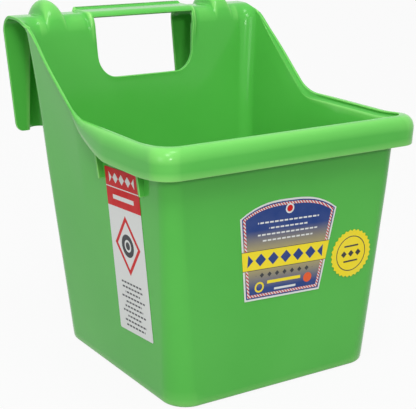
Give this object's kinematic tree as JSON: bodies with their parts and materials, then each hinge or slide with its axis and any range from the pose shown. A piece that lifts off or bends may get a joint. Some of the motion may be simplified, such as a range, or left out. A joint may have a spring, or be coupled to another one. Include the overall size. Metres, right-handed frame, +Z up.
{
  "type": "hook-over feeder",
  "caption": "Deep one-piece plastic feed tub with a rolled lip and a wide ribbed hook with a hand hole, which hangs over a board or fence rail.",
  "frame": {"origin": "middle of the flat resting face under the tub", "axes": "+Z up, +Y towards the board that the hook hangs over, +X to the right as seen from the front"},
  "size_m": [0.304, 0.3489, 0.3545],
  "materials": {
    "green_plastic": "semi-gloss moulded polyethylene",
    "white_vinyl": "satin printed vinyl",
    "blue_vinyl": "satin printed vinyl",
    "yellow_vinyl": "satin printed vinyl"
  },
  "bodies": {
    "root": {"feeder_body": "green_plastic", "side_label": "white_vinyl", "front_label": "blue_vinyl", "round_seal": "yellow_vinyl"}
  },
  "joints": []
}
